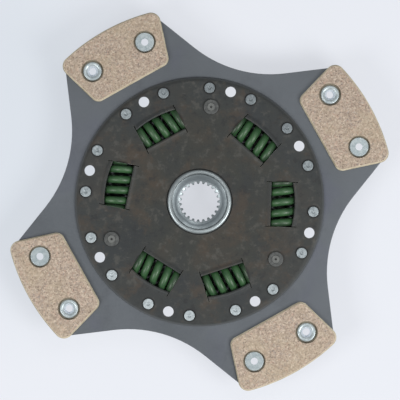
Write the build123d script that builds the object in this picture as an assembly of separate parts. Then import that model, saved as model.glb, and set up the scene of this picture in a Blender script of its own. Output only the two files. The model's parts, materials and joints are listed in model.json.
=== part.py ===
from build123d import *
import os
from math import asin, copysign, cos, degrees, hypot, radians, sin, sqrt, tan

# Clutch disc: four paddles with sintered linings on both sides, and a spring
# damper between the paddles and the splined hub. The engine side faces +Z, and
# the origin is on the hub's axis in the middle of the linings. Sizes are in mm.

# Whole disc
disc_radius = 120.0
fit_gap = 0.05

# Hub, seen along its axis and from its side
hub_radius = 19.6
hub_length = 27.0
hub_front_stand = 2.0
hub_rear_step = 1.6
hub_edge_radius = 1.4
hub_lip_radius = 0.3
hub_rear_chamfer = 1.0
hub_face_width = 2.4
hub_face_step = 0.7
hub_step_slope_width = 0.5
hub_face_recess = 1.4
hub_root_fillet = 0.4
spline_tooth_count = 23
spline_tip_diameter = 22.1
spline_root_diameter = 25.3
spline_tooth_tip_width = 0.9
spline_tooth_root_width = 2.3
spline_mouth_margin = 0.3
spline_mouth_slope_angle = 22.0
flange_thickness = 5.6
flange_rim_width = 1.95
flange_edge_chamfer = 0.4

# Springs, which stand in three pairs
spring_pair_count = 3
first_pair_angle = 23.2
pair_half_angle = 25.1
spring_ring_gap = 7.2
spring_outer_diameter = 19.0
spring_wire_diameter = 4.6
spring_coil_gap = 1.9
spring_end_coil_gap = 0.1
spring_end_turns = 1.0
spring_end_gap = 0.05
spring_tip_share = 0.25
spring_turn_angles = (-24.0, -24.0, 115.0, -107.0, 48.0, -71.0)

# Spring windows: in the flange, and with cowled lips in both side plates
window_length = 27.7
flange_window_clearance = 0.5
lip_inner_hold = 2.8
lip_outer_hold = 2.0
lip_inner_gap = 0.7
lip_outer_gap = 0.5
lip_width = 3.4
rear_lip_overhang = 2.0
lip_tip_thickness = 1.6
lip_tip_lean_angle = 35.0
lip_tip_rounding = 0.5
front_lip_slit = 0.5

# Stop pins, each in a notch of the hub's flange
stop_pin_count = 3
first_stop_pin_angle = 83.0
stop_pin_offset = 7.8
stop_pin_barrel_diameter = 8.6
stop_pin_tenon_diameter = 6.0
stop_pin_head_diameter = 9.3
stop_pin_head_height = 1.3
stop_pin_head_rounding = 0.5
stop_pin_button_diameter = 4.6
stop_pin_button_height = 0.35
stop_pin_dimple_diameter = 1.6
twist_limit_angle = 5.0
stop_gap = 0.1
notch_floor_gap = 0.5
notch_corner_radius = 1.5

# Friction rings, pressure ring and disc spring
front_ring_thickness = 2.0
rear_ring_thickness = 0.8
friction_ring_width = 14.4
collar_thickness = 0.7
collar_reach = 2.0
ring_corner_chamfer = 0.6
pressure_ring_thickness = 0.5
pressure_ring_gap = 2.4
disc_spring_height = 0.7
disc_spring_sheet = 0.45
disc_spring_gap = 3.4
disc_spring_inset = 1.0
key_tab_count = 3
key_tab_width = 7.0
key_tab_reach = 2.6
key_slot_gap = 0.15

# Side plates of the damper
side_plate_thickness = 3.0
side_plate_rim_width = 3.2
side_plate_rim_land = 0.5
front_plate_margin = 6.5
rear_plate_clearance = 0.75

# Paddle plate
paddle_count = 4
first_paddle_angle = 29.15
paddle_plate_thickness = 2.0
paddle_edge_radius = 0.3
flange_rim_gap = 1.3
arm_root_ledge = 7.8
arm_edge_inset = 3.0
arm_corner_radius = 4.0
gap_arc_radius = 75.0
gap_flank_angle = 22.8

# Rivets and tooling holes that join the front side plate and the paddle plate
carrier_station_count = 8
carrier_edge_distance = 4.5
carrier_rivet_offset_angle = 10.8
carrier_rivet_head_diameter = 6.5
carrier_rivet_head_height = 0.9
carrier_rivet_head_rounding = 0.4
carrier_rivet_shank_diameter = 4.8
carrier_rivet_dimple_diameter = 2.4
carrier_rivet_dimple_depth = 0.4
rivet_groove_width = 0.55
rivet_groove_depth = 0.35
tooling_hole_diameter = 6.5

# Linings and their backing plates
pad_half_angle = 17.0
pad_ledge = 6.8
pad_inner_corner_radius = 5.0
pad_outer_corner_radius = 6.0
backing_thickness = 0.9
lining_thickness = 2.3
lining_edge_inset = 0.6
lining_edge_chamfer = 0.35

# Hollow rivets through the linings
pad_rivet_shift = 1.8
pad_rivet_offset_angle = 10.2
pad_rivet_head_diameter = 11.7
pad_rivet_head_height = 1.0
pad_rivet_head_rounding = 0.4
pad_rivet_well_gap = 0.95
pad_rivet_shank_diameter = 7.8
pad_rivet_bore_diameter = 4.4
pad_rivet_roll_diameter = 11.6
pad_rivet_roll_height = 1.1
pad_rivet_crest_diameter = 9.8
pad_rivet_mouth_diameter = 5.6

# Radii worked out from the hub outwards
hub_rear_radius = hub_radius - hub_rear_step
spline_mouth_radius = spline_root_diameter / 2 + spline_mouth_margin
side_plate_bore_radius = hub_radius + collar_thickness + 2 * fit_gap
friction_ring_radius = hub_radius + friction_ring_width
pressure_ring_inner_radius = hub_radius + pressure_ring_gap
disc_spring_inner_radius = hub_radius + disc_spring_gap
disc_spring_outer_radius = friction_ring_radius - disc_spring_inset
spring_radius = spring_outer_diameter / 2
spring_axis_radius = friction_ring_radius + spring_ring_gap + spring_radius
window_inner_edge = spring_axis_radius - spring_radius + lip_inner_hold
window_outer_radius = spring_axis_radius + spring_radius - lip_outer_hold
flange_window_half = spring_radius + flange_window_clearance
stop_pin_radius = spring_axis_radius + stop_pin_offset
flange_corner_radius = hypot(spring_axis_radius + flange_window_half, window_length / 2)
flange_radius = flange_corner_radius + flange_rim_width
paddle_plate_bore_radius = flange_radius + flange_rim_gap
carrier_radius = paddle_plate_bore_radius + carrier_edge_distance
front_plate_radius = carrier_radius + front_plate_margin
rear_plate_radius = carrier_radius - tooling_hole_diameter / 2 - rear_plate_clearance
gap_floor_radius = front_plate_radius + arm_root_ledge
pad_inner_edge = front_plate_radius + pad_ledge
pad_rivet_radius = (pad_inner_edge + disc_radius) / 2 + pad_rivet_shift
pad_rivet_well_radius = pad_rivet_head_diameter / 2 + pad_rivet_well_gap

# Heights worked out from the stack
plate_face = paddle_plate_thickness / 2
backing_face = plate_face + backing_thickness
front_inner = plate_face
front_outer = front_inner + side_plate_thickness
flange_front = front_inner - front_ring_thickness
flange_rear = flange_front - flange_thickness
rear_ring_face = flange_rear - rear_ring_thickness
pressure_ring_face = rear_ring_face - pressure_ring_thickness
rear_inner = pressure_ring_face - disc_spring_height
rear_outer = rear_inner - side_plate_thickness
spring_axis_height = (front_inner + rear_inner) / 2
spring_depth = front_inner - spring_axis_height
hub_front = front_outer + hub_front_stand
hub_rear = hub_front - hub_length


def around(count, first):
    """Equal steps of angle about the disc's axis."""
    return [first + 360 / count * k for k in range(count)]


paddle_angles = around(paddle_count, first_paddle_angle)
gap_angles = around(paddle_count, first_paddle_angle + 180 / paddle_count)
station_angles = around(carrier_station_count, first_paddle_angle)
carrier_rivet_angles = [
    angle + side * carrier_rivet_offset_angle for angle in station_angles for side in (-1, 1)
]
window_angles = [
    angle + side * pair_half_angle
    for angle in around(spring_pair_count, first_pair_angle)
    for side in (-1, 1)
]
stop_pin_angles = around(stop_pin_count, first_stop_pin_angle)
key_tab_angles = around(key_tab_count, first_stop_pin_angle)


def turned(angle):
    """A turn about the disc's axis."""
    return Rot(0, 0, angle)


def polar(radius, angle, height=0.0):
    """A place on a circle about the disc's axis."""
    return turned(angle) * Pos(radius, 0, height)


def disc_hole(radius, low, high):
    """A cylinder to cut a round hole with, on the axis of its own frame."""
    return Pos(0, 0, low) * extrude(Circle(radius), high - low)


def profile(*points):
    """A section drawn from (radius, height) points."""
    return make_face(Polyline(*points, close=True))


def rounded(section, radius, *corners):
    """The same section with the corners at these points rounded."""
    for corner in corners:
        section = fillet(section.vertices().sort_by_distance(corner)[0], radius)
    return section


def spun(section):
    """A solid of revolution from a section drawn as radius and height."""
    return revolve(Plane.XZ * section, Axis.Z)


def gap_outline():
    """The open space between two paddles, drawn with its middle along +X."""
    centre = gap_floor_radius + gap_arc_radius
    arc_end_x = centre - gap_arc_radius * cos(radians(gap_flank_angle))
    arc_end_y = gap_arc_radius * sin(radians(gap_flank_angle))
    far_x = 2 * disc_radius
    far_y = arc_end_y + (far_x - arc_end_x) / tan(radians(gap_flank_angle))
    upper = (arc_end_x, arc_end_y)
    lower = (arc_end_x, -arc_end_y)
    arc = ThreePointArc(lower, (gap_floor_radius, 0), upper)
    sides = Polyline(upper, (far_x, far_y), (far_x, -far_y), lower)
    return make_face([arc, sides])


def paddle_plate():
    """The carrier plate with four arms under the linings."""
    outline = Circle(disc_radius - arm_edge_inset)
    for angle in gap_angles:
        outline -= turned(angle) * gap_outline()
    rim_corners = outline.vertices().filter_by(
        lambda v: v.center().length > disc_radius - 2 * arm_edge_inset
    )
    outline = fillet(rim_corners, arm_corner_radius)
    plate = Pos(0, 0, -plate_face) * extrude(outline, paddle_plate_thickness)
    rims = plate.edges().filter_by(lambda e: abs(e.center().Z) > plate_face - fit_gap)
    plate = fillet(rims, paddle_edge_radius)
    holes = [(0, 0, paddle_plate_bore_radius)]
    for angle in carrier_rivet_angles:
        holes.append((carrier_radius, angle, carrier_rivet_shank_diameter / 2 + fit_gap))
    for angle in station_angles:
        holes.append((carrier_radius, angle, tooling_hole_diameter / 2))
    for angle in paddle_angles:
        for side in (-1, 1):
            place = angle + side * pad_rivet_offset_angle
            holes.append((pad_rivet_radius, place, pad_rivet_shank_diameter / 2 + fit_gap))
    for distance, angle, radius in holes:
        plate -= polar(distance, angle) * disc_hole(radius, -paddle_plate_thickness, paddle_plate_thickness)
    return plate


def pad_outline(inset):
    """The outline of a lining or backing plate, with its middle along +X."""
    reach = 2 * disc_radius
    half_width = reach * tan(radians(pad_half_angle))
    wedge = make_face(Polyline((0, 0), (reach, -half_width), (reach, half_width), close=True))
    inner = Pos(pad_inner_edge, 0) * Rectangle(reach, 2 * reach, align=(Align.MIN, Align.CENTER))
    outline = Circle(disc_radius) & wedge & inner
    inner_corners = outline.vertices().sort_by(Axis.X)[:2]
    outline = fillet(inner_corners, pad_inner_corner_radius)
    outer_corners = outline.vertices().sort_by(Axis.X)[-2:]
    outline = fillet(outer_corners, pad_outer_corner_radius)
    if inset > 0:
        outline = offset(outline, -inset)
    return outline


def with_pad_rivet_holes(solid, radius):
    """The same solid with its two rivet holes cut through."""
    for side in (-1, 1):
        place = polar(pad_rivet_radius, side * pad_rivet_offset_angle)
        solid -= place * disc_hole(radius, -disc_radius, disc_radius)
    return solid


def backing_plate():
    """A thin steel plate that carries one lining, above the paddle plate."""
    plate = Pos(0, 0, plate_face) * extrude(pad_outline(0), backing_thickness)
    return with_pad_rivet_holes(plate, pad_rivet_shank_diameter / 2 + fit_gap)


def lining():
    """One sintered lining, brazed on its backing plate."""
    block = Pos(0, 0, backing_face) * extrude(pad_outline(lining_edge_inset), lining_thickness)
    block = chamfer(block.faces().sort_by(Axis.Z)[-1].edges(), lining_edge_chamfer)
    return with_pad_rivet_holes(block, pad_rivet_well_radius)


def pad_rivet():
    """A hollow rivet with its flat head up and its rolled end down."""
    bore = pad_rivet_bore_diameter / 2
    head = pad_rivet_head_diameter / 2
    shank = pad_rivet_shank_diameter / 2
    roll = pad_rivet_roll_diameter / 2
    crest = pad_rivet_crest_diameter / 2
    mouth = pad_rivet_mouth_diameter / 2
    top = backing_face + pad_rivet_head_height
    bottom = -backing_face - pad_rivet_roll_height
    bell_end = (mouth, bottom + crest - mouth)
    sides = Polyline(
        bell_end,
        (bore, 0),
        (bore, top),
        (head, top),
        (head, backing_face),
        (shank, backing_face),
        (shank, -backing_face),
        (roll, -backing_face),
    )
    curl = TangentArc((crest, bottom), (roll, -backing_face), tangent=(1, 0))
    bell = TangentArc((crest, bottom), bell_end, tangent=(-1, 0))
    section = rounded(make_face([sides, curl, bell]), pad_rivet_head_rounding, (head, top))
    return spun(section)


def pad_rivets():
    """All hollow rivets: heads to the front on one side of each pad, to the rear on the other."""
    rivets = []
    for angle in paddle_angles:
        rivets.append(polar(pad_rivet_radius, angle - pad_rivet_offset_angle) * pad_rivet())
        flipped = Rot(180, 0, 0) * pad_rivet()
        rivets.append(polar(pad_rivet_radius, angle + pad_rivet_offset_angle) * flipped)
    return Compound(children=rivets)


def carrier_rivet():
    """A solid rivet through the front side plate and the paddle plate."""
    head = carrier_rivet_head_diameter / 2
    shank = carrier_rivet_shank_diameter / 2
    dimple = carrier_rivet_dimple_diameter / 2
    top = front_outer + carrier_rivet_head_height
    bottom = -plate_face - carrier_rivet_head_height
    section = profile(
        (0, bottom),
        (head, bottom),
        (head, -plate_face),
        (shank, -plate_face),
        (shank, front_outer),
        (head, front_outer),
        (head, top),
        (dimple, top),
        (dimple / 2, top - carrier_rivet_dimple_depth),
        (0, top - carrier_rivet_dimple_depth),
    )
    return spun(rounded(section, carrier_rivet_head_rounding, (head, bottom), (head, top)))


def carrier_rivets():
    """The sixteen carrier rivets as one group."""
    return Compound(
        children=[polar(carrier_radius, angle) * carrier_rivet() for angle in carrier_rivet_angles]
    )


def window_outline():
    """A spring window with the room for its lips, drawn with its middle along +X."""
    inner = window_inner_edge - lip_width
    block = Pos(inner, 0) * Rectangle(disc_radius, window_length, align=(Align.MIN, Align.CENTER))
    return block & Circle(window_outer_radius + lip_width)


def lip_rise(gap, offset):
    """How far a lip's tip stands off its plate to clear the spring, at this offset from its axis."""
    return sqrt((spring_radius + gap) ** 2 - offset**2) - spring_depth


def lip_section(root, tip, rise):
    """The cross-section of a lip, whose outer face curves up from the plate to a tip that leans back."""
    lean = radians(lip_tip_lean_angle)
    back = copysign(lip_tip_thickness * sin(lean), root - tip)
    low = (tip, rise)
    high = (tip + back, rise + lip_tip_thickness * cos(lean))
    root_top = (root, side_plate_thickness)
    bend = TangentArc(root_top, high, tangent=(tip - root, 0))
    section = make_face([Polyline(root_top, (root, 0), low, high), bend])
    return Plane.XZ * rounded(section, lip_tip_rounding, low, high)


def window_lips(overhang, slit):
    """The two lips of one window, cowled outwards to hold the spring."""
    length = window_length - 2 * slit
    inner_tip = window_inner_edge + overhang
    inner_rise = lip_rise(lip_inner_gap, spring_axis_radius - inner_tip)
    inner_section = lip_section(window_inner_edge - lip_width, inner_tip, inner_rise)
    inner_lip = extrude(inner_section, length / 2, both=True)
    outer_tip = window_outer_radius - overhang
    corner_reach = sqrt(outer_tip**2 - (window_length / 2) ** 2)
    outer_rise = lip_rise(lip_outer_gap, corner_reach - spring_axis_radius)
    outer_section = lip_section(window_outer_radius + lip_width, outer_tip, outer_rise)
    sweep_angle = 2 * degrees(asin(window_length / 2 / outer_tip))
    outer_lip = turned(-sweep_angle / 2) * revolve(outer_section, Axis.Z, sweep_angle)
    outer_lip &= Pos(outer_tip, 0, 0) * Box(window_length, length, window_length)
    return inner_lip + outer_lip


def side_plate(radius, lip_overhang=0, lip_slit=0):
    """A side plate with its inner face on z = 0, a rim that thins in an arc, and its lips bent up."""
    bore = side_plate_bore_radius
    land = (radius, side_plate_rim_land)
    shoulder = (radius - side_plate_rim_width, side_plate_thickness)
    sides = Polyline(shoulder, (bore, side_plate_thickness), (bore, 0), (radius, 0), land)
    plate = spun(make_face([sides, TangentArc(shoulder, land, tangent=(1, 0))]))
    lips = window_lips(lip_overhang, lip_slit)
    for angle in window_angles:
        plate -= turned(angle) * extrude(window_outline(), side_plate_thickness)
    for angle in window_angles:
        plate += turned(angle) * lips
    for angle in stop_pin_angles:
        place = polar(stop_pin_radius, angle)
        plate -= place * disc_hole(stop_pin_tenon_diameter / 2 + fit_gap, 0, side_plate_thickness)
    return plate


def rivet_groove():
    """The groove that the riveting tool leaves round a carrier rivet."""
    inner = carrier_rivet_head_diameter / 2
    return Pos(0, 0, side_plate_thickness - rivet_groove_depth) * extrude(
        Circle(inner + rivet_groove_width) - Circle(inner), rivet_groove_depth
    )


def front_side_plate():
    """The plate that the photographed side shows, riveted to the paddle plate."""
    plate = side_plate(front_plate_radius, lip_slit=front_lip_slit)
    for angle in carrier_rivet_angles:
        place = polar(carrier_radius, angle)
        plate -= place * disc_hole(carrier_rivet_shank_diameter / 2 + fit_gap, 0, side_plate_thickness)
        plate -= place * rivet_groove()
    for angle in station_angles:
        place = polar(carrier_radius, angle)
        plate -= place * disc_hole(tooling_hole_diameter / 2, 0, side_plate_thickness)
    return Pos(0, 0, front_inner) * plate


def key_tab_places():
    """Where the pressure ring's tabs stand in the rear side plate."""
    return [polar(friction_ring_radius, angle) for angle in key_tab_angles]


def rear_side_plate():
    """The plate on the gearbox side, with slots for the pressure ring's tabs."""
    plate = mirror(side_plate(rear_plate_radius, lip_overhang=rear_lip_overhang), Plane.XY)
    slot = Box(
        pressure_ring_thickness + 2 * key_slot_gap,
        key_tab_width + 2 * key_slot_gap,
        3 * side_plate_thickness,
    )
    for place in key_tab_places():
        plate -= place * Pos(pressure_ring_thickness / 2, 0, 0) * slot
    return Pos(0, 0, rear_inner) * plate


def coil_path():
    """The spring's centre line along +Z about the origin, with closed turns at both ends."""
    radius = spring_radius - spring_wire_diameter / 2
    pitch = spring_wire_diameter + spring_coil_gap
    end_pitch = spring_wire_diameter + spring_end_coil_gap
    ground_off = (0.5 - spring_tip_share) * spring_wire_diameter
    half = window_length / 2 - spring_end_gap + ground_off
    end_rise = spring_end_turns * end_pitch
    middle_rise = 2 * (half - end_rise)
    lower = Pos(0, 0, -half) * Helix(end_pitch, end_rise, radius)
    middle = turned(360 * spring_end_turns) * Helix(pitch, middle_rise, radius)
    middle = Pos(0, 0, -half + end_rise) * middle
    upper = turned(360 * (spring_end_turns + middle_rise / pitch)) * Helix(end_pitch, end_rise, radius)
    upper = Pos(0, 0, half - end_rise) * upper
    return Wire([lower.edge(), middle.edge(), upper.edge()])


def damper_spring():
    """A coil spring with closed and ground ends, on the Z axis."""
    path = coil_path()
    section = Plane(origin=path @ 0, z_dir=path % 0) * Circle(spring_wire_diameter / 2)
    coil = sweep(section, path=path)
    length = window_length - 2 * spring_end_gap
    return coil & Cylinder(spring_outer_diameter, length)


def placed_spring(number):
    """A spring laid in its window, with its axis along the tangent."""
    lie = Rot(-90, 0, 0) * turned(spring_turn_angles[number])
    return polar(spring_axis_radius, window_angles[number], spring_axis_height) * lie * damper_spring()


def stop_pin():
    """A stepped pin riveted into both side plates, drawn on the disc's axis."""
    head = stop_pin_head_diameter / 2
    tenon = stop_pin_tenon_diameter / 2
    barrel = stop_pin_barrel_diameter / 2
    button = stop_pin_button_diameter / 2
    top = front_outer + stop_pin_head_height
    bottom = rear_outer - stop_pin_head_height
    upper = [
        (barrel, front_inner),
        (tenon, front_inner),
        (tenon, front_outer),
        (head, front_outer),
        (head, top),
        (button + stop_pin_button_height, top),
        (button, top + stop_pin_button_height),
        (stop_pin_dimple_diameter / 2, top + stop_pin_button_height),
        (0, top - stop_pin_button_height),
    ]
    lower = [(r, front_inner + rear_inner - z) for r, z in reversed(upper)]
    section = profile(*lower, *upper)
    return spun(rounded(section, stop_pin_head_rounding, (head, top), (head, bottom)))


def flange_notch():
    """The notch that a stop pin travels in, drawn with its middle along +X."""
    room = stop_pin_barrel_diameter / 2 + stop_gap
    floor = stop_pin_radius - stop_pin_barrel_diameter / 2 - notch_floor_gap
    block = Pos(floor, 0) * Rectangle(disc_radius, 2 * room, align=(Align.MIN, Align.CENTER))
    corners = block.vertices().sort_by(Axis.X)[:2]
    block = fillet(corners, notch_corner_radius)
    swept = turned(-twist_limit_angle) * block + turned(twist_limit_angle) * block
    wedge_reach = 2 * disc_radius
    wedge_side = wedge_reach * tan(radians(twist_limit_angle))
    wedge = make_face(Polyline((0, 0), (wedge_reach, -wedge_side), (wedge_reach, wedge_side), close=True))
    return swept + (wedge - Circle(floor))


def flange():
    """The hub's drive flange, with its windows and notches."""
    rim = flange_radius
    edges = ((rim, 0), (rim, flange_thickness))
    section = profile((0, 0), *edges, (0, flange_thickness))
    for corner in edges:
        section = chamfer(section.vertices().sort_by_distance(corner)[0], flange_edge_chamfer)
    plate = spun(section)
    for angle in window_angles:
        window = Rectangle(2 * flange_window_half, window_length)
        plate -= polar(spring_axis_radius, angle) * extrude(window, flange_thickness)
    for angle in stop_pin_angles:
        plate -= turned(angle) * extrude(flange_notch(), flange_thickness)
    return Pos(0, 0, flange_rear) * plate


def spline_bore():
    """The toothed bore as a solid to cut with."""
    root = spline_root_diameter / 2
    tip = spline_tip_diameter / 2
    far = root + spline_tooth_root_width
    spread = (spline_tooth_root_width - spline_tooth_tip_width) / 2 * (far - tip) / (root - tip)
    tip_half = spline_tooth_tip_width / 2
    far_half = tip_half + spread
    tooth = profile((tip, -tip_half), (far, -far_half), (far, far_half), (tip, tip_half))
    outline = Circle(root)
    for k in range(spline_tooth_count):
        outline -= turned(360 / spline_tooth_count * k) * tooth
    return Pos(0, 0, hub_rear - hub_length) * extrude(outline, 3 * hub_length)


def spline_mouth(height, inwards):
    """A cone to cut the mouth of the spline with, which narrows inwards to the tooth tips."""
    tip = spline_tip_diameter / 2
    depth = inwards * (spline_mouth_radius - tip) * tan(radians(spline_mouth_slope_angle))
    far = height + depth
    return spun(profile((0, height), (spline_mouth_radius, height), (tip, far), (0, far)))


def hub():
    """The splined hub with its flange, one forging."""
    shoulder = rear_outer - collar_reach
    rim = (hub_radius, hub_front)
    lip = (hub_radius - hub_face_width, hub_front)
    step = (hub_radius - hub_face_width - hub_step_slope_width, hub_front - hub_face_step)
    section = profile(
        (0, hub_rear),
        (hub_rear_radius - hub_rear_chamfer, hub_rear),
        (hub_rear_radius, hub_rear + hub_rear_chamfer),
        (hub_rear_radius, shoulder - hub_rear_step),
        (hub_radius, shoulder),
        rim,
        lip,
        step,
        (spline_mouth_radius, hub_front - hub_face_recess),
        (0, hub_front - hub_face_recess),
    )
    section = rounded(section, hub_edge_radius, rim)
    section = rounded(section, hub_lip_radius, lip, step)
    body = spun(section) + flange()
    root_edges = body.edges().filter_by(
        lambda e: e.geom_type == GeomType.CIRCLE
        and abs(e.radius - hub_radius) < fit_gap
        and flange_rear - fit_gap < e.center().Z < flange_front + fit_gap
    )
    body = fillet(root_edges, hub_root_fillet)
    body -= spline_bore()
    body -= spline_mouth(hub_front - hub_face_recess, -1)
    body -= spline_mouth(hub_rear, 1)
    return body


def friction_ring(thickness):
    """A ring with its flange face on z = 0 and its collar pointing up."""
    inner = hub_radius + fit_gap
    collar = side_plate_bore_radius - fit_gap
    return spun(
        profile(
            (inner + ring_corner_chamfer, 0),
            (friction_ring_radius, 0),
            (friction_ring_radius, thickness),
            (collar, thickness),
            (collar, thickness + collar_reach),
            (inner, thickness + collar_reach),
            (inner, ring_corner_chamfer),
        )
    )


def front_friction_ring():
    """The ring between the flange and the front side plate."""
    return Pos(0, 0, flange_front) * friction_ring(front_ring_thickness)


def rear_friction_ring():
    """The ring between the flange and the pressure ring."""
    return Pos(0, 0, flange_rear) * mirror(friction_ring(rear_ring_thickness), Plane.XY)


def pressure_ring():
    """A steel ring whose tabs stand in the rear side plate's slots."""
    outline = Circle(friction_ring_radius + pressure_ring_thickness) - Circle(pressure_ring_inner_radius)
    ring = Pos(0, 0, pressure_ring_face) * extrude(outline, pressure_ring_thickness)
    tab_height = rear_ring_face - rear_inner + key_tab_reach
    downwards = (Align.MIN, Align.CENTER, Align.MAX)
    tab = Box(pressure_ring_thickness, key_tab_width, tab_height, align=downwards)
    for place in key_tab_places():
        ring += Pos(0, 0, rear_ring_face) * place * tab
    return ring


def disc_spring():
    """The conical spring between the pressure ring and the rear side plate."""
    slope = disc_spring_height - disc_spring_sheet
    return spun(
        profile(
            (disc_spring_inner_radius, rear_inner),
            (disc_spring_outer_radius, rear_inner + slope),
            (disc_spring_outer_radius, rear_inner + disc_spring_height),
            (disc_spring_inner_radius, rear_inner + disc_spring_sheet),
        )
    )


def all_nodes():
    """Every sub-part by its name."""
    nodes = {
        "hub": hub(),
        "front_side_plate": front_side_plate(),
        "rear_side_plate": rear_side_plate(),
        "paddle_plate": paddle_plate(),
        "front_friction_ring": front_friction_ring(),
        "rear_friction_ring": rear_friction_ring(),
        "pressure_ring": pressure_ring(),
        "disc_spring": disc_spring(),
        "carrier_rivets": carrier_rivets(),
        "pad_rivets": pad_rivets(),
    }
    backing = backing_plate()
    pad = lining()
    for k, angle in enumerate(paddle_angles, start=1):
        nodes[f"front_backing_{k}"] = turned(angle) * backing
        nodes[f"front_lining_{k}"] = turned(angle) * pad
        nodes[f"rear_backing_{k}"] = turned(angle) * mirror(backing, Plane.XY)
        nodes[f"rear_lining_{k}"] = turned(angle) * mirror(pad, Plane.XY)
    for k in range(len(window_angles)):
        nodes[f"damper_spring_{k + 1}"] = placed_spring(k)
    for k, angle in enumerate(stop_pin_angles, start=1):
        nodes[f"stop_pin_{k}"] = polar(stop_pin_radius, angle) * stop_pin()
    return nodes


def main():
    os.makedirs("parts", exist_ok=True)
    for name, solid in all_nodes().items():
        export_step(solid, f"parts/{name}.step")


main()
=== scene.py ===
import json
import math

import bmesh
import bpy
from mathutils import Matrix, Vector


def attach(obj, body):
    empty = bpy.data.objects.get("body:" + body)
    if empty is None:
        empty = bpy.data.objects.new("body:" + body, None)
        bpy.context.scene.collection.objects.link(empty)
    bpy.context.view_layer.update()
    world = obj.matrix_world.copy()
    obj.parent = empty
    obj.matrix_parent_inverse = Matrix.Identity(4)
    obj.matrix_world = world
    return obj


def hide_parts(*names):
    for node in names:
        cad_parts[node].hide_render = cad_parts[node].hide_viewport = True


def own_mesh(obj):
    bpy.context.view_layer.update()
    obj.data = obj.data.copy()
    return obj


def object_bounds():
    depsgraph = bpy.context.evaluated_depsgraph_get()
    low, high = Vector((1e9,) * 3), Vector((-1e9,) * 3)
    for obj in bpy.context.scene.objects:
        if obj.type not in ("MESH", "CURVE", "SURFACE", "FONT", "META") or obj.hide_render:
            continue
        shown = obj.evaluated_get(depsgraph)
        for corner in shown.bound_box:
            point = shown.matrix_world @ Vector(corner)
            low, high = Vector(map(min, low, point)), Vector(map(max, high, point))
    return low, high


# Looks of the clutch disc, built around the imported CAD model. Sizes are in metres, angles in degrees.
# The engine side faces +Z, and the photograph looks straight down on it.

# Camera, above the disc and a little off its axis, with its lens and sensor in millimetres
camera_x = 0.0003
camera_y = 0.00104
camera_height = 1.5
camera_lens = 219.8
camera_sensor = 36.0
camera_clip_start = 0.01
camera_clip_end = 20.0

# Lamps and sky, with the power of each lamp in watts
left_lamp_azimuth = 211.0
left_lamp_power = 5.2
right_lamp_azimuth = -33.0
right_lamp_power = 6.7
side_lamp_elevation = 48.0
top_lamp_azimuth = 60.0
top_lamp_elevation = 66.0
top_lamp_power = 1.4
lamp_distance = 1.0
lamp_size = 0.44
lamp_colour = (1.0, 0.99, 0.97)
sky_colour = (0.93, 0.96, 1.0)
sky_strength = 0.27
seen_sky_strength = 0.85

# Floor: its size, and the share of its tone that it shows to the camera whatever falls on it
floor_reach = 6.0
floor_glow = 0.75

# Floor: the place round which painted shade makes it a little darker
dim_x = -0.15
dim_y = 0.05
dim_near = 0.05
dim_far = 0.17

# Floor: the spots of light under the tooling holes and under the pad rivets' bores
spot_glow = 0.9
spot_fade = 0.0015
tool_hole_count = 8
tool_spot_ring = 0.071
tool_spot_radius = 0.004
bore_spot_ring = 0.1049
bore_spot_radius = 0.0025

# Springs, and how far each one is spun about its own axis
spring_length = 0.0276
spring_radius = 0.0095
wire_radius = 0.0023
coil_radius = spring_radius - wire_radius
wire_gap = 0.0019
end_wire_gap = 0.0001
end_turns = 1.0
tip_thickness = 0.00115
spring_spins = (-24.0, -24.0, 115.0, -107.0, 48.0, -71.0)

# Springs: the fineness of the meshes
wire_sides = 28
steps_per_turn = 56

# Springs: where their pairs stand in the disc
spring_pair_count = 3
first_spring_pair_angle = 23.2
spring_offset_angle = 25.1
spring_ring_radius = 0.0507
spring_height = -0.0038

# Rolled edges of the rear plate's lips: their distance from the disc's axis, length and height
lip_edge_radius = 0.0009
lip_edge_half_length = 0.0138
inner_lip_edge = 0.0461
inner_lip_edge_height = -0.01355
outer_lip_edge = 0.0561
outer_lip_edge_height = -0.01375
lip_edge_sides = 16
lip_edge_steps = 24

# Paddles, and the wells and bores of the pad rivets, which stand in pairs
paddle_count = 4
first_paddle_angle = 29.15
well_ring_radius = 0.10346
well_offset_angle = 10.2
well_radius = 0.0068
lining_shade_width = 0.0003
backing_shade_width = 0.001
rivet_mouth_radius = 0.0038
rivet_mouth_width = 0.0012

# Carrier rivets, set in pairs, with painted shade round their heads
carrier_pair_count = 8
carrier_ring_radius = 0.07001
carrier_offset_angle = 10.8
carrier_head_radius = 0.00325
head_shade_start = 0.0004
head_shade_end = 0.0014

# Carrier rivets: the direction in which painted shade darkens them, and the places along it where
# painted shade and painted light change their tone
shaded_side_angle = 68.3
shaded_side_start = 0.015
shaded_side_end = 0.07
lit_side_start = -0.01
lit_side_end = -0.07

# Stop pins
stop_pin_count = 3
first_stop_pin_angle = 83.0
stop_pin_ring_radius = 0.0585
stop_pin_button_radius = 0.0025
stop_pin_button_fade = 0.0004
stop_pin_dimple_radius = 0.001
stop_pin_dimple_fade = 0.0006

# Side plates: where they turn greyer outwards, and where painted light makes their rims lighter
plate_grey_start = 0.045
plate_grey_end = 0.068
plate_rim_start = 0.0752
plate_rim_end = 0.0766

# Hub: the painted highlights on its rim and at the mouth of its bore, the painted shade on one side, the
# tool rings, and the edges, worn and with a painted highlight
hub_rim_radius = 0.0179
hub_rim_fade = 0.0008
hub_cone_radius = 0.0142
hub_cone_fade = 0.001
hub_shade_start = 0.003
hub_shade_end = 0.013
hub_ring_sway = 0.0022
hub_edge_radius = 0.0006

# Marks along edges, worn ones and, on the hub, also a painted highlight: the cosines between the rounded
# and the true normal where a mark starts and is full
edge_mark_start = 0.985
edge_mark_full = 0.86


def srgb(*values):
    """A linear colour from 0 to 255 screen values."""
    out = []
    for value in values:
        v = value / 255
        out.append(v / 12.92 if v <= 0.04045 else ((v + 0.055) / 1.055) ** 2.4)
    return tuple(out)


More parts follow.
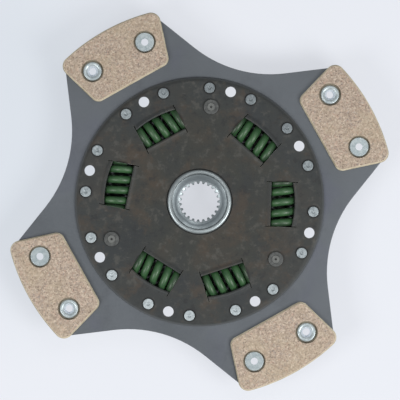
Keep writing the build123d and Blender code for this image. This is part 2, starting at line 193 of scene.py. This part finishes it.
class Look:
    """A material whose node tree is built in short steps."""

    def __init__(self, name):
        self.material = bpy.data.materials.new(name)
        self.material.use_nodes = True
        self.tree = self.material.node_tree
        self.tree.nodes.clear()
        self.output = self.tree.nodes.new("ShaderNodeOutputMaterial")
        self.point = self.add("TexCoord").outputs["Object"]

    def link(self, source, target):
        """Joins one node's output to another node's input."""
        self.tree.links.new(source, target)

    def feed(self, node, socket, value):
        """Gives an input a number, a colour or another node's output."""
        if isinstance(value, bpy.types.NodeSocket):
            self.link(value, node.inputs[socket])
        else:
            node.inputs[socket].default_value = value

    def add(self, kind, **inputs):
        """Adds a node and feeds its inputs by name, with an underscore for each space."""
        node = self.tree.nodes.new("ShaderNode" + kind)
        for name, value in inputs.items():
            self.feed(node, name.replace("_", " "), value)
        return node

    def math(self, operation, *values):
        """The result of one operation on numbers or outputs."""
        node = self.tree.nodes.new("ShaderNodeMath")
        node.operation = operation
        for index, value in enumerate(values):
            self.feed(node, index, value)
        return node.outputs["Value"]

    def plus(self, a, b):
        """The sum of two values."""
        return self.math("ADD", a, b)

    def minus(self, a, b):
        """The first value less the second."""
        return self.math("SUBTRACT", a, b)

    def times(self, a, b):
        """The product of two values."""
        return self.math("MULTIPLY", a, b)

    def length(self, a, b):
        """The length of the long side of a right-angled triangle."""
        return self.math("SQRT", self.plus(self.times(a, a), self.times(b, b)))

    def span(self, value, low, high, to_low=0.0, to_high=1.0):
        """Maps low to high onto to_low to to_high, smoothly and clamped."""
        node = self.add("MapRange", Value=value)
        node.interpolation_type = "SMOOTHSTEP"
        node.inputs["From Min"].default_value = low
        node.inputs["From Max"].default_value = high
        node.inputs["To Min"].default_value = to_low
        node.inputs["To Max"].default_value = to_high
        return node.outputs["Result"]

    def parts(self, vector):
        """The three parts of a vector."""
        node = self.add("SeparateXYZ", Vector=vector)
        return node.outputs["X"], node.outputs["Y"], node.outputs["Z"]

    def normal_up(self):
        """How far the surface faces up the disc's axis, from -1 to 1."""
        return self.parts(self.add("NewGeometry").outputs["Normal"])[2]

    def steepness(self):
        """0 on faces square to the disc's axis, 1 on walls."""
        return self.minus(1.0, self.math("ABSOLUTE", self.normal_up()))

    def edge(self, radius):
        """How near a point is to an edge, from 0 on flats to 1 on the edge itself."""
        agree = self.add("VectorMath")
        agree.operation = "DOT_PRODUCT"
        self.link(self.add("Bevel", Radius=radius).outputs["Normal"], agree.inputs[0])
        self.link(self.add("NewGeometry").outputs["Normal"], agree.inputs[1])
        return self.span(agree.outputs["Value"], edge_mark_start, edge_mark_full)

    def radius(self):
        """How far a point is from the disc's axis."""
        x, y, _ = self.parts(self.point)
        return self.length(x, y)

    def from_spot(self, count, first, ring_radius, offset=0.0):
        """A point's place outwards and sideways of the nearest of some spots on a circle.

        The spots stand alone, or in pairs that are offset to both sides of a middle.
        """
        x, y, _ = self.parts(self.point)
        half_step = math.pi / count
        turn = self.minus(self.math("ARCTAN2", y, x), math.radians(first))
        turn = self.math("ABSOLUTE", self.math("WRAP", turn, half_step, -half_step))
        turn = self.minus(turn, math.radians(offset))
        radius = self.radius()
        outwards = self.minus(self.times(radius, self.math("COSINE", turn)), ring_radius)
        sideways = self.times(radius, self.math("SINE", turn))
        return outwards, sideways

    def spot_distance(self, count, first, ring_radius, offset=0.0):
        """How far a point is from the nearest of some spots, or pairs of spots, on a circle."""
        return self.length(*self.from_spot(count, first, ring_radius, offset))

    def well_distance(self):
        """How far a point is from the middle of the nearest pad rivet."""
        return self.spot_distance(paddle_count, first_paddle_angle, well_ring_radius, well_offset_angle)

    def stretched(self, scale):
        """The surface point with each of its parts scaled."""
        return self.add("Mapping", Vector=self.point, Scale=scale).outputs["Vector"]

    def noise(self, scale, detail=3.0, roughness=0.55, distortion=0.0, at=None):
        """Cloudy noise, at the surface point or at another vector."""
        place = self.point if at is None else at
        node = self.add("TexNoise", Vector=place, Scale=scale, Detail=detail)
        node.inputs["Roughness"].default_value = roughness
        node.inputs["Distortion"].default_value = distortion
        return node.outputs["Fac"]

    def cells(self, scale):
        """A node whose outputs are a pattern of cells, like crystals or grains."""
        return self.add("TexVoronoi", Vector=self.point, Scale=scale)

    def ramp(self, value, *stops):
        """A colour ramp from (position, colour) stops."""
        node = self.add("ValToRGB", Fac=value)
        ramp = node.color_ramp
        while len(ramp.elements) < len(stops):
            ramp.elements.new(0.5)
        for element, (position, colour) in zip(ramp.elements, stops):
            element.position = position
            element.color = colour + (1.0,)
        return node.outputs["Color"]

    def mix(self, base, colour, factor):
        """Lays a colour over a base as far as a factor says."""
        node = self.tree.nodes.new("ShaderNodeMix")
        node.data_type = "RGBA"
        inputs = {socket.identifier: socket for socket in node.inputs}
        self.link(factor, inputs["Factor_Float"])
        self.link(base, inputs["A_Color"])
        inputs["B_Color"].default_value = colour + (1.0,)
        return next(socket for socket in node.outputs if socket.identifier == "Result_Color")

    def over(self, base, colour, value, low, high, amount):
        """Lays a colour over a base, not at all where a value is low, by an amount where it is high."""
        return self.mix(base, colour, self.span(value, low, high, 0.0, amount))

    def along_edges(self, base, colour, edge_radius, amount):
        """Lays a colour over a base along the edges."""
        return self.mix(base, colour, self.times(self.edge(edge_radius), amount))

    def bump(self, height, distance, strength, normal=None):
        """A normal with small bumps in it."""
        node = self.add("Bump", Height=height, Distance=distance, Strength=strength)
        if normal is not None:
            self.link(normal, node.inputs["Normal"])
        return node.outputs["Normal"]

    def mix_shaders(self, first, second, factor):
        """A mix of two shader nodes, all of the second where the factor is 1."""
        node = self.add("MixShader", Fac=factor)
        self.link(first.outputs[0], node.inputs[1])
        self.link(second.outputs[0], node.inputs[2])
        return node

    def finish(self, shader):
        """Ends the material in a shader node."""
        self.link(shader.outputs[0], self.output.inputs["Surface"])
        return self.material

    def surface(self, **inputs):
        """Ends the material in one principled shader."""
        return self.finish(self.add("BsdfPrincipled", **inputs))


def paddle_steel():
    """Hardened spring steel, blue-grey with a faint roll texture and bluish clouds."""
    look = Look("paddle_steel")
    cloud = look.noise(14.0, detail=4.0)
    tint = look.noise(22.0, detail=2.0, distortion=0.5)
    fine = look.noise(900.0, roughness=0.7)
    stain = look.noise(45.0, detail=5.0, roughness=0.65, distortion=0.6)
    base = look.ramp(cloud, (0.32, srgb(84, 89, 94)), (0.68, srgb(98, 103, 109)))
    base = look.over(base, srgb(88, 90, 106), tint, 0.52, 0.72, 0.5)
    base = look.over(base, srgb(70, 72, 78), stain, 0.5, 0.75, 0.3)
    base = look.over(base, srgb(110, 114, 120), fine, 0.3, 0.7, 0.18)
    base = look.along_edges(base, srgb(150, 152, 154), 0.0004, 0.5)
    rough = look.span(fine, 0.3, 0.75, 0.42, 0.58)
    normal = look.bump(fine, 0.00004, 0.25)
    return look.surface(Base_Color=base, Metallic=0.55, Roughness=rough, Normal=normal)


def side_plate_steel(name, inward):
    """Phosphated and oiled sheet, dark and mottled, with painted light on its lips, other steep faces
    and rim, painted shade round the carrier rivets' heads, and painted shade, nearly black, on its inner
    face.

    The inner face of the plate looks up the axis where inward is 1 and down it where it is -1.
    """
    look = Look(name)
    cloud = look.noise(30.0, detail=5.0, roughness=0.6, distortion=0.5)
    rust = look.noise(62.0, detail=5.0, roughness=0.7)
    blotch = look.noise(170.0, detail=5.0, roughness=0.7)
    scratch = look.noise(160.0, distortion=1.2, at=look.stretched((1.0, 6.0, 1.0)))
    grain = look.noise(1500.0, roughness=0.75)
    crystal = look.cells(1900.0).outputs["Distance"]
    radius = look.radius()
    rivet = look.spot_distance(
        carrier_pair_count, first_paddle_angle, carrier_ring_radius, carrier_offset_angle
    )
    head_shade = (carrier_head_radius + head_shade_end, carrier_head_radius + head_shade_start)
    base = look.ramp(cloud, (0.3, srgb(35, 40, 44)), (0.5, srgb(45, 47, 44)), (0.7, srgb(56, 51, 44)))
    base = look.over(base, srgb(44, 49, 52), radius, plate_grey_start, plate_grey_end, 0.45)
    base = look.over(base, srgb(70, 57, 45), rust, 0.5, 0.66, 0.5)
    base = look.over(base, srgb(76, 75, 71), blotch, 0.52, 0.68, 0.6)
    base = look.over(base, srgb(27, 29, 32), blotch, 0.46, 0.32, 0.65)
    base = look.over(base, srgb(90, 90, 88), scratch, 0.64, 0.76, 0.35)
    base = look.over(base, srgb(80, 79, 74), grain, 0.45, 0.75, 0.3)
    base = look.along_edges(base, srgb(112, 112, 108), 0.0004, 0.4)
    # Painted light: lighter on the lips and other steep faces.
    base = look.over(base, srgb(86, 89, 90), look.steepness(), 0.02, 0.35, 0.65)
    # Painted light: lighter towards the rim, softening the shade where it meets the paddle.
    base = look.over(base, srgb(106, 110, 114), radius, plate_rim_start, plate_rim_end, 0.6)
    # Painted shade round the carrier rivets' heads.
    base = look.over(base, srgb(22, 24, 25), rivet, *head_shade, 0.75)
    # Painted shade: nearly black on the plate's inner face between the parts, the rear lips' rolled
    # edges included.
    base = look.over(base, srgb(12, 12, 12), look.times(look.normal_up(), inward), 0.0, 0.15, 0.9)
    rough = look.span(grain, 0.3, 0.75, 0.56, 0.74)
    normal = look.bump(look.plus(look.times(crystal, 0.5), grain), 0.00005, 0.3)
    return look.surface(Base_Color=base, Metallic=0.25, Roughness=rough, Normal=normal)


def hub_steel():
    """Zinc-plated forging, turned on its faces, with uneven tool rings, painted shade on one side,
    painted highlights on its rim and at the mouth of its bore, and edges that are worn and carry a
    painted highlight.
    """
    look = Look("hub_steel")
    radius = look.radius()
    _, y, _ = look.parts(look.point)
    sway = look.times(look.noise(70.0, detail=2.0), hub_ring_sway)
    swayed = look.add("CombineXYZ", X=look.plus(radius, sway)).outputs["Vector"]
    bands = look.noise(420.0, detail=2.0, roughness=0.5, at=swayed)
    rings = look.noise(1500.0, roughness=0.7, at=swayed)
    cloud = look.noise(130.0, detail=4.0, roughness=0.6, distortion=0.4)
    fine = look.noise(1600.0)
    dark = srgb(80, 88, 93)
    rim = (hub_rim_radius - hub_rim_fade, hub_rim_radius)
    cone = (hub_cone_radius + hub_cone_fade, hub_cone_radius)
    base = look.ramp(bands, (0.38, dark), (0.6, srgb(174, 185, 189)))
    base = look.over(base, dark, rings, 0.6, 0.36, 0.45)
    base = look.over(base, dark, cloud, 0.42, 0.72, 0.5)
    # Painted shade: darker towards one side of the hub.
    base = look.over(base, srgb(66, 72, 76), y, hub_shade_start, hub_shade_end, 0.55)
    # Painted highlights: lighter on the rim and, a little, at the mouth of the bore.
    base = look.over(base, srgb(186, 195, 197), radius, *rim, 0.45)
    base = look.over(base, srgb(168, 178, 183), radius, *cone, 0.15)
    # The hub's edges are worn, and lighter still as a painted highlight.
    base = look.along_edges(base, srgb(226, 231, 231), hub_edge_radius, 0.6)
    rough = look.span(cloud, 0.3, 0.7, 0.34, 0.48)
    rounded = look.add("Bevel", Radius=hub_edge_radius).outputs["Normal"]
    normal = look.bump(fine, 0.00003, 0.3, normal=look.bump(rings, 0.00006, 0.5, normal=rounded))
    return look.surface(Base_Color=base, Metallic=0.75, Roughness=rough, Normal=normal)


def carrier_rivet_steel():
    """Zinc plating with small dents, with painted shade on one side of the disc and painted light on the
    other.
    """
    look = Look("zinc_steel")
    dents = look.noise(700.0, detail=4.0, roughness=0.65)
    fine = look.noise(2800.0, detail=2.0)
    x, y, _ = look.parts(look.point)
    angle = math.radians(shaded_side_angle)
    across = look.plus(look.times(x, math.cos(angle)), look.times(y, math.sin(angle)))
    base = look.ramp(dents, (0.34, srgb(122, 131, 135)), (0.62, srgb(166, 175, 179)))
    # Painted shade on the rivets towards one side of the disc, and painted light towards the other.
    base = look.over(base, srgb(92, 98, 102), across, shaded_side_start, shaded_side_end, 0.58)
    base = look.over(base, srgb(212, 222, 226), across, lit_side_start, lit_side_end, 0.36)
    rough = look.span(fine, 0.3, 0.7, 0.4, 0.54)
    normal = look.bump(dents, 0.00006, 0.4)
    return look.surface(Base_Color=base, Metallic=0.6, Roughness=rough, Normal=normal)


def pad_rivet_steel():
    """Zinc plating of the pad rivets, with painted highlights in the mouth of each bore and on the
    rolled ends.
    """
    look = Look("rivet_steel")
    dents = look.noise(420.0, detail=4.0, roughness=0.65)
    fine = look.noise(1700.0, detail=2.0)
    steep = look.steepness()
    mouth = (rivet_mouth_radius, rivet_mouth_radius - rivet_mouth_width)
    in_mouth = look.span(look.well_distance(), *mouth, 0.0, 0.85)
    base = look.ramp(dents, (0.34, srgb(152, 165, 170)), (0.62, srgb(178, 188, 191)))
    # Painted highlight on the steep faces of the rolled ends.
    base = look.over(base, srgb(204, 211, 214), steep, 0.08, 0.5, 0.6)
    # Painted highlight in the mouth of each bore.
    base = look.mix(base, srgb(222, 229, 236), look.times(in_mouth, look.span(steep, 0.02, 0.2)))
    rough = look.span(fine, 0.3, 0.7, 0.3, 0.44)
    normal = look.bump(dents, 0.00006, 0.4)
    return look.surface(Base_Color=base, Metallic=0.4, Roughness=rough, Normal=normal)


def sinter():
    """Sintered friction metal: tan, with dark, pale, bluish and pinkish grains."""
    look = Look("sinter")
    grains = look.add("SeparateColor", Color=look.cells(1150.0).outputs["Color"]).outputs
    speck = look.noise(1250.0, detail=2.0, roughness=0.6, distortion=0.5)
    patch = look.noise(520.0, roughness=0.6)
    cloud = look.noise(60.0)
    well = (well_radius + lining_shade_width, well_radius)
    base = look.ramp(
        grains["Red"],
        (0.0, srgb(146, 130, 117)),
        (0.3, srgb(168, 152, 137)),
        (0.7, srgb(178, 162, 146)),
        (1.0, srgb(196, 181, 164)),
    )
    base = look.over(base, srgb(186, 152, 136), grains["Green"], 0.8, 0.95, 0.4)
    base = look.over(base, srgb(134, 130, 130), grains["Blue"], 0.84, 0.97, 0.4)
    base = look.over(base, srgb(138, 122, 108), patch, 0.5, 0.66, 0.45)
    base = look.over(base, srgb(96, 82, 75), speck, 0.56, 0.66, 0.8)
    base = look.over(base, srgb(174, 160, 132), cloud, 0.4, 0.7, 0.3)
    # Painted highlight on the lining's steep edges.
    base = look.over(base, srgb(204, 192, 168), look.steepness(), 0.05, 0.25, 0.8)
    # Painted shade round the rivets' wells.
    base = look.over(base, srgb(84, 76, 66), look.well_distance(), *well, 0.4)
    height = look.minus(look.noise(1300.0, detail=4.0, roughness=0.7), look.times(speck, 0.6))
    normal = look.bump(height, 0.00012, 0.7)
    return look.surface(Base_Color=base, Metallic=0.1, Roughness=0.82, Normal=normal)


def backing_steel():
    """Copper-washed steel sheet, pale beige at its edges, with painted shade in the rivets' wells."""
    look = Look("backing_steel")
    cloud = look.noise(220.0, detail=4.0, roughness=0.6)
    well = (well_radius + backing_shade_width, well_radius)
    base = look.ramp(cloud, (0.35, srgb(166, 157, 136)), (0.65, srgb(198, 190, 170)))
    # Painted shade in the rivets' wells.
    base = look.over(base, srgb(84, 78, 68), look.well_distance(), *well, 0.7)
    rough = look.span(cloud, 0.3, 0.7, 0.5, 0.66)
    normal = look.bump(cloud, 0.00003, 0.4)
    return look.surface(Base_Color=base, Metallic=0.2, Roughness=rough, Normal=normal)


def dark_steel():
    """The phosphated stop pins, a little smoother than the side plates, with paler middles."""
    look = Look("dark_steel")
    cloud = look.noise(380.0, detail=4.0, roughness=0.65)
    middle = look.spot_distance(stop_pin_count, first_stop_pin_angle, stop_pin_ring_radius)
    button = (stop_pin_button_radius, stop_pin_button_radius - stop_pin_button_fade)
    dimple = (stop_pin_dimple_radius, stop_pin_dimple_radius - stop_pin_dimple_fade)
    base = look.ramp(cloud, (0.35, srgb(64, 66, 66)), (0.65, srgb(90, 92, 91)))
    base = look.over(base, srgb(116, 118, 116), middle, *button, 0.6)
    # Painted shade in the dimple at the middle of each pin.
    base = look.over(base, srgb(40, 41, 42), middle, *dimple, 0.8)
    base = look.along_edges(base, srgb(132, 134, 132), 0.0003, 0.5)
    rough = look.span(cloud, 0.3, 0.7, 0.42, 0.58)
    normal = look.bump(cloud, 0.00006, 0.4)
    return look.surface(Base_Color=base, Metallic=0.4, Roughness=rough, Normal=normal)


def spring_paint():
    """Green paint on spring wire, satin and uneven, with painted shade inside the coils and at their
    ends.
    """
    look = Look("spring_paint")
    cloud = look.noise(260.0)
    scuff = look.noise(420.0, detail=5.0, roughness=0.7, distortion=0.6)
    orange_peel = look.noise(1400.0, detail=2.0)
    outwards, sideways = look.from_spot(
        spring_pair_count, first_spring_pair_angle, spring_ring_radius, spring_offset_angle
    )
    _, _, z = look.parts(look.point)
    from_axis = look.length(outwards, look.minus(z, spring_height))
    inside = (coil_radius, coil_radius - wire_radius / 2)
    from_middle = look.math("ABSOLUTE", sideways)
    ends = (spring_length / 2 - 1.5 * wire_radius, spring_length / 2 - wire_radius / 2)
    base = look.ramp(cloud, (0.3, srgb(38, 72, 42)), (0.7, srgb(52, 88, 52)))
    base = look.over(base, srgb(86, 104, 78), scuff, 0.6, 0.72, 0.5)
    # Painted shade inside the coils.
    base = look.over(base, srgb(8, 16, 9), from_axis, *inside, 0.85)
    # Painted shade towards the spring's ends, where the windows shade them.
    base = look.over(base, srgb(12, 24, 13), from_middle, *ends, 0.6)
    rough = look.span(orange_peel, 0.3, 0.7, 0.4, 0.52)
    normal = look.bump(orange_peel, 0.00004, 0.3)
    return look.surface(
        Base_Color=base, Roughness=rough, Coat_Weight=0.15, Coat_Roughness=0.35, Normal=normal
    )


def friction_ring():
    """Dark moulded ring material."""
    look = Look("friction_ring")
    speck = look.noise(1200.0)
    base = look.ramp(speck, (0.35, srgb(30, 30, 31)), (0.7, srgb(46, 46, 47)))
    return look.surface(Base_Color=base, Roughness=0.6, Normal=look.bump(speck, 0.00003, 0.3))


def spring_steel():
    """Dark blued spring steel of the inner rings."""
    look = Look("spring_steel")
    cloud = look.noise(300.0)
    base = look.ramp(cloud, (0.35, srgb(58, 60, 66)), (0.65, srgb(82, 85, 92)))
    rough = look.span(cloud, 0.3, 0.7, 0.35, 0.5)
    normal = look.bump(cloud, 0.00002, 0.3)
    return look.surface(Base_Color=base, Metallic=0.7, Roughness=rough, Normal=normal)


def pale_sheet():
    """The floor's pale tone, which keeps itself in the camera's sight and takes a faint shadow.

    From below it can be seen through, so that the disc's rear side shows.
    """
    look = Look("floor")
    x, y, _ = look.parts(look.point)
    # Painted shade: the floor is darker near the dim place and lighter further off.
    from_dim = look.length(look.minus(x, dim_x), look.minus(y, dim_y))
    lightness = look.span(from_dim, dim_near, dim_far)
    tone = look.ramp(lightness, (0.0, srgb(218, 224, 232)), (1.0, srgb(230, 233, 240)))
    tool = look.spot_distance(tool_hole_count, first_paddle_angle, tool_spot_ring)
    bore = look.spot_distance(paddle_count, first_paddle_angle, bore_spot_ring, well_offset_angle)
    tool_spot = look.span(tool, tool_spot_radius + spot_fade, tool_spot_radius)
    bore_spot = look.span(bore, bore_spot_radius + spot_fade, bore_spot_radius)
    spot = look.math("MAXIMUM", tool_spot, bore_spot)
    rays = look.add("LightPath").outputs
    seen = look.math("MAXIMUM", rays["Is Camera Ray"], rays["Is Glossy Ray"])
    seen = look.math("MAXIMUM", seen, rays["Is Transmission Ray"])
    glow = look.plus(look.times(spot, spot_glow - floor_glow), floor_glow)
    lit = look.add("BsdfDiffuse", Color=tone)
    glowing = look.add("Emission", Color=tone, Strength=1.0)
    above = look.mix_shaders(lit, glowing, look.times(seen, glow))
    backfacing = look.add("NewGeometry").outputs["Backfacing"]
    return look.finish(look.mix_shaders(above, look.add("BsdfTransparent"), backfacing))


def dress(obj, material):
    """Gives an object one material."""
    obj.data.materials.clear()
    obj.data.materials.append(material)


def new_object(name, bm, material):
    """Turns a bmesh into an object of the scene."""
    bmesh.ops.recalc_face_normals(bm, faces=bm.faces)
    mesh = bpy.data.meshes.new(name)
    bm.to_mesh(mesh)
    bm.free()
    obj = bpy.data.objects.new(name, mesh)
    bpy.context.scene.collection.objects.link(obj)
    obj.data.materials.append(material)
    return obj


def around(count):
    """Evenly spaced angles round a circle, in radians."""
    return [2 * math.pi * k / count for k in range(count)]


def tube(bm, rings):
    """Joins rings of points into a closed tube."""
    rings = [[bm.verts.new(point) for point in ring] for ring in rings]
    for one, other in zip(rings, rings[1:]):
        for side in range(len(one)):
            after = (side + 1) % len(one)
            bm.faces.new((one[side], one[after], other[after], other[side]))
    bm.faces.new(list(reversed(rings[0])))
    bm.faces.new(rings[-1])


def coil_points():
    """The centre line of a spring along Z, with close turns at its ends and open ones between."""
    half = spring_length / 2 + wire_radius - tip_thickness
    end_pitch = 2 * wire_radius + end_wire_gap
    pitch = 2 * wire_radius + wire_gap
    end_rise = end_turns * end_pitch
    open_turns = 2 * (half - end_rise) / pitch
    turns = 2 * end_turns + open_turns
    count = round(turns * steps_per_turn)
    points = []
    for k in range(count + 1):
        t = turns * k / count
        if t < end_turns:
            z = -half + t * end_pitch
        elif t < end_turns + open_turns:
            z = -half + end_rise + (t - end_turns) * pitch
        else:
            z = half - (turns - t) * end_pitch
        a = 2 * math.pi * t
        points.append(Vector((coil_radius * math.cos(a), coil_radius * math.sin(a), z)))
    return points


def coil_rings():
    """Rings of points round the wire, square to its centre line."""
    points = coil_points()
    rings = []
    for before, point, after in zip(points[:1] + points, points, points[1:] + points[-1:]):
        along = (after - before).normalized()
        outwards = Vector((point.x, point.y, 0)).normalized()
        side = along.cross(outwards).normalized()
        outwards = side.cross(along)
        ring = []
        for a in around(wire_sides):
            offset = outwards * math.cos(a) + side * math.sin(a)
            ring.append(point + offset * wire_radius)
        rings.append(ring)
    return rings


def ground_coil():
    """A spring along Z whose ends are ground flat."""
    bm = bmesh.new()
    tube(bm, coil_rings())
    for end in (-1, 1):
        cut = bmesh.ops.bisect_plane(
            bm,
            geom=bm.verts[:] + bm.edges[:] + bm.faces[:],
            plane_co=(0, 0, end * spring_length / 2),
            plane_no=(0, 0, end),
            clear_outer=True,
        )
        edges = [e for e in cut["geom_cut"] if isinstance(e, bmesh.types.BMEdge)]
        bmesh.ops.edgeloop_fill(bm, edges=edges)
    ground = spring_length / 2 - 1e-5
    for face in bm.faces:
        face.smooth = abs(face.normal.z) < 0.999 or abs(face.calc_center_median().z) < ground
    return bm


def spring_rows():
    """The record's rows of the springs, which say where each spring lies."""
    joint = next(j for j in frame["record"]["behaviour"]["joints"] if j["name"] == "hub_twist")
    return joint["deforming_nodes"]


def springs(material):
    """The six painted springs, in place of the solid ones."""
    for row, angle in zip(spring_rows(), spring_spins):
        tangent = Vector(row["axis"])
        centre = Vector(row["fixed_point_m"])
        spin = Matrix.Rotation(math.radians(angle), 4, "Z")
        lie = Matrix.Rotation(math.radians(-90), 4, "X")
        place = Matrix.Rotation(math.atan2(-tangent.x, tangent.y), 4, "Z")
        bm = ground_coil()
        bmesh.ops.transform(bm, matrix=Matrix.Translation(centre) @ place @ lie @ spin, verts=bm.verts)
        obj = new_object(row["node"].replace("damper_spring", "spring"), bm, material)
        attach(obj, "springs")
        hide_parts(row["node"])
        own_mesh(obj)


def lip_edge(bm, turn, reach, height, curved):
    """A rolled edge along one lip, straight or curved about the disc's axis."""
    rotation = Matrix.Rotation(turn, 3, "Z")
    rings = []
    for step in range(lip_edge_steps + 1):
        y = lip_edge_half_length * (2 * step / lip_edge_steps - 1)
        x = math.sqrt(reach**2 - y**2) if curved else reach
        ring = []
        for a in around(lip_edge_sides):
            offset = Vector((math.cos(a), 0, math.sin(a))) * lip_edge_radius
            ring.append(rotation @ (Vector((x, y, height)) + offset))
        rings.append(ring)
    tube(bm, rings)


def lip_edges(material):
    """Rolled edges on the rear plate's lips, which close the view past the springs to the floor."""
    bm = bmesh.new()
    for row in spring_rows():
        x, y, _ = row["fixed_point_m"]
        turn = math.atan2(y, x)
        lip_edge(bm, turn, inner_lip_edge, inner_lip_edge_height, curved=False)
        lip_edge(bm, turn, outer_lip_edge, outer_lip_edge_height, curved=True)
    obj = new_object("rear_lip_edges", bm, material)
    for face in obj.data.polygons:
        face.use_smooth = len(face.vertices) == 4
    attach(obj, "disc")


def floor(height):
    """A large pale sheet at the disc's lowest point."""
    bm = bmesh.new()
    corners = []
    for x, y in ((-1, -1), (1, -1), (1, 1), (-1, 1)):
        corners.append(bm.verts.new((x * floor_reach, y * floor_reach, height)))
    bm.faces.new(corners)
    new_object("floor", bm, pale_sheet())


def camera():
    """A long lens straight above the disc, as in the photograph."""
    data = bpy.data.cameras.new("camera")
    data.lens = camera_lens
    data.sensor_width = camera_sensor
    data.clip_start = camera_clip_start
    data.clip_end = camera_clip_end
    obj = bpy.data.objects.new("camera", data)
    obj.location = (camera_x, camera_y, camera_height)
    bpy.context.scene.collection.objects.link(obj)
    bpy.context.scene.camera = obj


def lamp(name, azimuth, elevation, power):
    """A soft square lamp that faces the middle of the disc."""
    a = math.radians(azimuth)
    e = math.radians(elevation)
    place = Vector((math.cos(a) * math.cos(e), math.sin(a) * math.cos(e), math.sin(e))) * lamp_distance
    data = bpy.data.lights.new(name, "AREA")
    data.shape = "SQUARE"
    data.size = lamp_size
    data.energy = power
    data.color = lamp_colour
    obj = bpy.data.objects.new(name, data)
    obj.location = place
    obj.rotation_mode = "QUATERNION"
    obj.rotation_quaternion = (-place).to_track_quat("-Z", "Y")
    bpy.context.scene.collection.objects.link(obj)


def sky():
    """A weak soft sky, which the camera itself sees as a pale background."""
    world = bpy.data.worlds.new("studio")
    bpy.context.scene.world = world
    world.use_nodes = True
    tree = world.node_tree
    tree.nodes.clear()
    output = tree.nodes.new("ShaderNodeOutputWorld")
    rays = tree.nodes.new("ShaderNodeLightPath")
    both = tree.nodes.new("ShaderNodeMixShader")
    tree.links.new(rays.outputs["Is Camera Ray"], both.inputs["Fac"])
    for index, strength in ((1, sky_strength), (2, seen_sky_strength)):
        background = tree.nodes.new("ShaderNodeBackground")
        background.inputs["Color"].default_value = sky_colour + (1.0,)
        background.inputs["Strength"].default_value = strength
        tree.links.new(background.outputs["Background"], both.inputs[index])
    tree.links.new(both.outputs["Shader"], output.inputs["Surface"])


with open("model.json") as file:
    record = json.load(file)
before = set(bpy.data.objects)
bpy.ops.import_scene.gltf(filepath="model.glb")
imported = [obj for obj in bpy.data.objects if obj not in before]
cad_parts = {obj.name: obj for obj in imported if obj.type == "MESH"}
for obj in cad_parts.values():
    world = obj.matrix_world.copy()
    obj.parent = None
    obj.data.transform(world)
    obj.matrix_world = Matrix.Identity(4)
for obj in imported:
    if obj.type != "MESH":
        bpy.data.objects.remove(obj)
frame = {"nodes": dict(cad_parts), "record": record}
cad_box = [list(corner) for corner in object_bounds()]

materials = {
    "hub_steel": hub_steel(),
    "paddle_steel": paddle_steel(),
    "side_plate_steel": side_plate_steel("front_plate_steel", -1.0),
    "zinc_steel": carrier_rivet_steel(),
    "rivet_steel": pad_rivet_steel(),
    "dark_steel": dark_steel(),
    "spring_paint": spring_paint(),
    "sinter": sinter(),
    "backing_steel": backing_steel(),
    "friction_ring": friction_ring(),
    "spring_steel": spring_steel(),
}
rear_plate_steel = side_plate_steel("rear_plate_steel", 1.0)
for part in frame["record"]["subparts"]:
    dress(frame["nodes"][part["node"]], materials[part["material_slot"]])
dress(frame["nodes"]["rear_side_plate"], rear_plate_steel)

springs(materials["spring_paint"])
lip_edges(rear_plate_steel)
floor(cad_box[0][2])
lamp("left", left_lamp_azimuth, side_lamp_elevation, left_lamp_power)
lamp("right", right_lamp_azimuth, side_lamp_elevation, right_lamp_power)
lamp("top", top_lamp_azimuth, top_lamp_elevation, top_lamp_power)
sky()
camera()
bpy.context.scene.view_settings.view_transform = "Standard"
